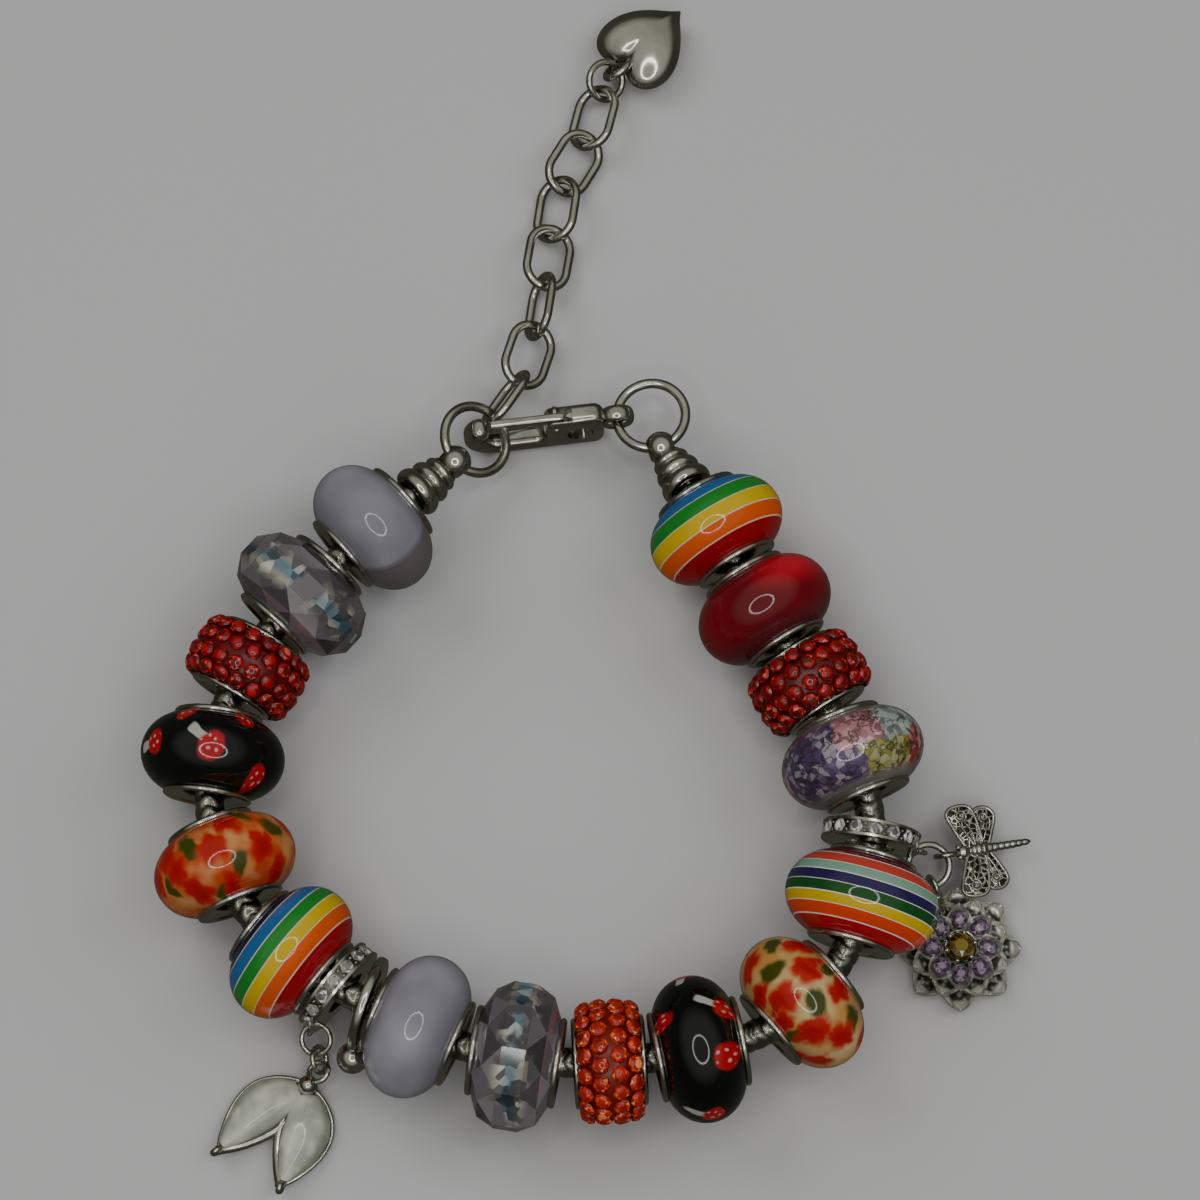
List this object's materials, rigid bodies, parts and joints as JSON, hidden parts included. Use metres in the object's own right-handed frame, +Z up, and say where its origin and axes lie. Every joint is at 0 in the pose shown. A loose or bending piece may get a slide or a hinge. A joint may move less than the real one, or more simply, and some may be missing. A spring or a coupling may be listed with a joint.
{
  "type": "charm bracelet",
  "caption": "Charm bracelet lying closed: glass, resin and stone-set beads on a silver snake chain, with flower, dragonfly and lotus charms, a lobster clasp and an extender with a heart.",
  "frame": {"origin": "centre of the footprint of the whole lying bracelet, at the height of the surface it lies on", "axes": "+Z up from the surface; the extender and its heart run towards +Y from the clasp, and the loop of beads lies towards -Y"},
  "size_m": [0.087, 0.1226, 0.015],
  "materials": {
    "silver": "polished silver-coloured metal",
    "oxidised_silver": "silver with darkened recesses",
    "snake_chain": "polished ribbed chain",
    "lavender_glass": "milky lavender-grey glass, glossy",
    "smoky_crystal": "cut smoky crystal, glossy",
    "red_pave": "small red cut stones",
    "orange_pave": "small orange-red cut stones",
    "toadstool_glass": "black glass with a toadstool pattern, glossy",
    "blossom_resin": "resin with a flower pattern, glossy",
    "rainbow_resin": "resin in rainbow layers, glossy",
    "foil_glass": "clear cut glass over coloured foil",
    "cherry_glass": "dark red pearly glass, glossy",
    "amber_stone": "cut amber-olive stone",
    "petal_enamel": "pearly pale enamel, glossy"
  },
  "bodies": {
    "bracelet": {"ball_bail": "silver", "bead_01_lavender": "lavender_glass", "bead_02_crystal": "smoky_crystal", "bead_03_pave": "red_pave", "bead_04_toadstool": "toadstool_glass", "bead_05_blossom": "blossom_resin", "bead_06_rainbow": "rainbow_resin", "bead_07_lavender": "lavender_glass", "bead_08_crystal": "smoky_crystal", "bead_09_pave": "orange_pave", "bead_10_toadstool": "toadstool_glass", "bead_11_blossom": "blossom_resin", "bead_12_rainbow": "rainbow_resin", "bead_13_foil": "foil_glass", "bead_14_pave": "red_pave", "bead_15_cherry": "cherry_glass", "bead_16_rainbow": "rainbow_resin", "core_01_lavender": "silver", "core_02_crystal": "silver", "core_03_pave": "silver", "core_04_toadstool": "silver", "core_05_blossom": "silver", "core_06_rainbow": "silver", "core_07_lavender": "silver", "core_08_crystal": "silver", "core_09_pave": "silver", "core_10_toadstool": "silver", "core_11_blossom": "silver", "core_12_rainbow": "silver", "core_13_foil": "silver", "core_14_pave": "silver", "core_15_cherry": "silver", "core_16_rainbow": "silver", "snake_chain": "snake_chain", "end_cap_left": "silver", "end_cap_right": "silver", "spacer_left": "silver", "spacer_right": "silver", "ring_left": "silver", "ring_right": "silver", "clasp_body": "silver", "link_1": "silver", "link_2": "silver", "link_3": "silver", "link_4": "silver", "link_5": "silver", "link_6": "silver", "link_7": "silver", "heart_ring": "silver", "heart": "silver", "charm_ring_right": "silver", "dragonfly": "oxidised_silver", "lotus": "oxidised_silver", "lotus_stone": "amber_stone", "charm_ring_left_1": "silver", "charm_ring_left_2": "silver", "tulip_setting": "silver", "petal_left": "petal_enamel", "petal_right": "petal_enamel"},
    "clasp_lever": {"clasp_lever": "silver"}
  },
  "joints": [
    {"name": "clasp_lever_hinge", "type": "hinge", "parent": "bracelet", "child": "clasp_lever", "pos_m": [-0.00349, 0.01442, 0.0056], "axis": [0.1232, -0.9924, 0], "range_deg": [0, 16], "stiffness_Nm_per_rad": 0.005, "springref_deg": -22.92}
  ]
}
